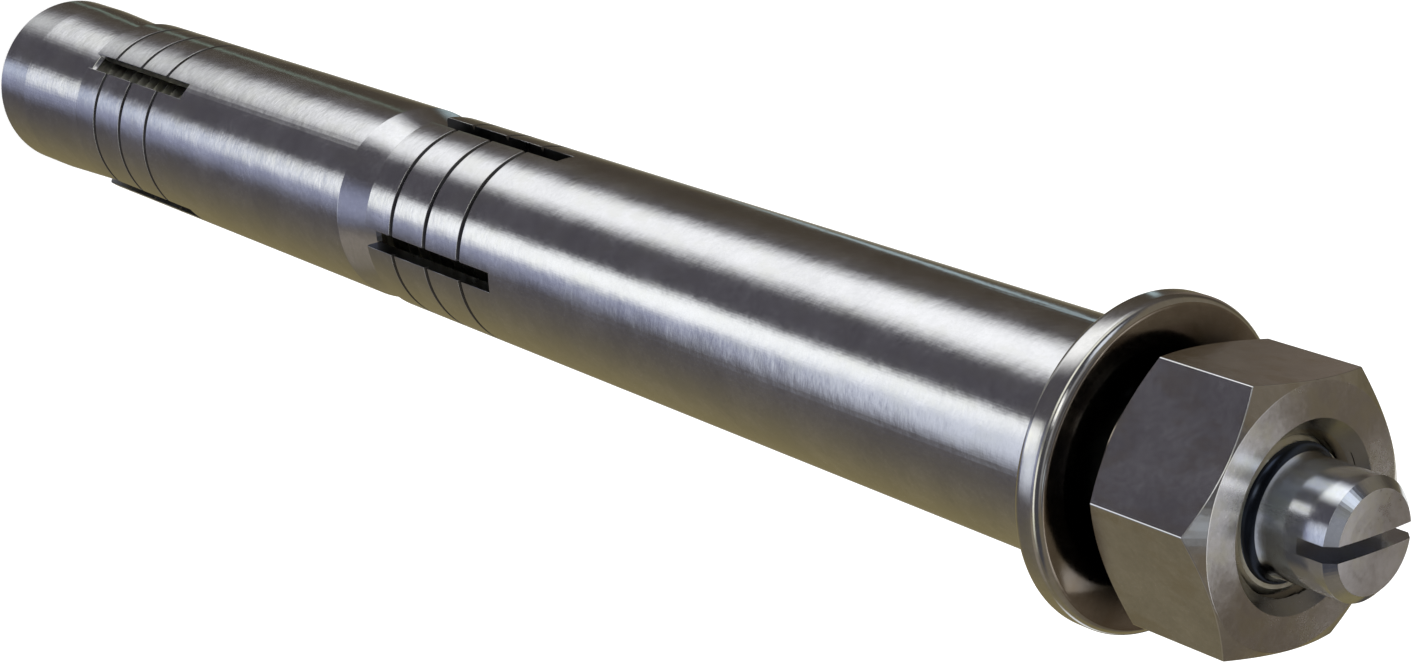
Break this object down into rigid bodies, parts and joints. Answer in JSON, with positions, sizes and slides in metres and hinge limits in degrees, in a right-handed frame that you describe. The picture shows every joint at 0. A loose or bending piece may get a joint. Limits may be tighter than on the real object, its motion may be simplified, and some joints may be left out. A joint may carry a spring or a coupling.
{
  "type": "expansion anchor",
  "caption": "Long sleeve anchor: threaded stud with cone nut, two slotted and grooved expansion sleeves, washer, hex nut and slotted pin end.",
  "frame": {"origin": "centre of the flat end of the cone nut, which the anchor stands on", "axes": "+Z along the stud from the cone nut to the slotted pin end; +X through a slot of the front sleeve"},
  "size_m": [0.0247, 0.0246, 0.1811],
  "materials": {
    "stud_steel": "zinc plated, turned",
    "cone_steel": "zinc plated, turned",
    "sleeve_steel": "zinc plated, bright",
    "washer_steel": "zinc plated, bright",
    "nut_steel": "zinc plated, satin"
  },
  "bodies": {
    "stud_body": {"stud": "stud_steel", "cone_nut": "cone_steel"},
    "front_sleeve_body": {"front_sleeve": "sleeve_steel"},
    "rear_sleeve_body": {"rear_sleeve": "sleeve_steel"},
    "washer_body": {"washer": "washer_steel"},
    "nut_body": {"hex_nut": "nut_steel"}
  },
  "joints": [
    {"name": "nut_turn", "type": "hinge", "parent": "rear_sleeve_body", "child": "nut_body", "pos_m": [0, 0, 0.165], "axis": [0, 0, 1], "range_deg": [0, 1800]},
    {"name": "rear_sleeve_travel", "type": "slide", "parent": "stud_body", "child": "rear_sleeve_body", "axis": [0, 0, 1], "range_m": [0, 0.00875]},
    {"name": "front_sleeve_travel", "type": "slide", "parent": "stud_body", "child": "front_sleeve_body", "axis": [0, 0, 1], "range_m": [0, 0.00438]},
    {"name": "washer_play", "type": "slide", "parent": "rear_sleeve_body", "child": "washer_body", "axis": [0, 0, 1], "range_m": [0, 0.0015]}
  ],
  "couplings": [
    {"joint": "nut_turn", "follows": "rear_sleeve_travel", "rad_per_m": 3590.4},
    {"joint": "front_sleeve_travel", "follows": "rear_sleeve_travel", "ratio": 0.5}
  ]
}
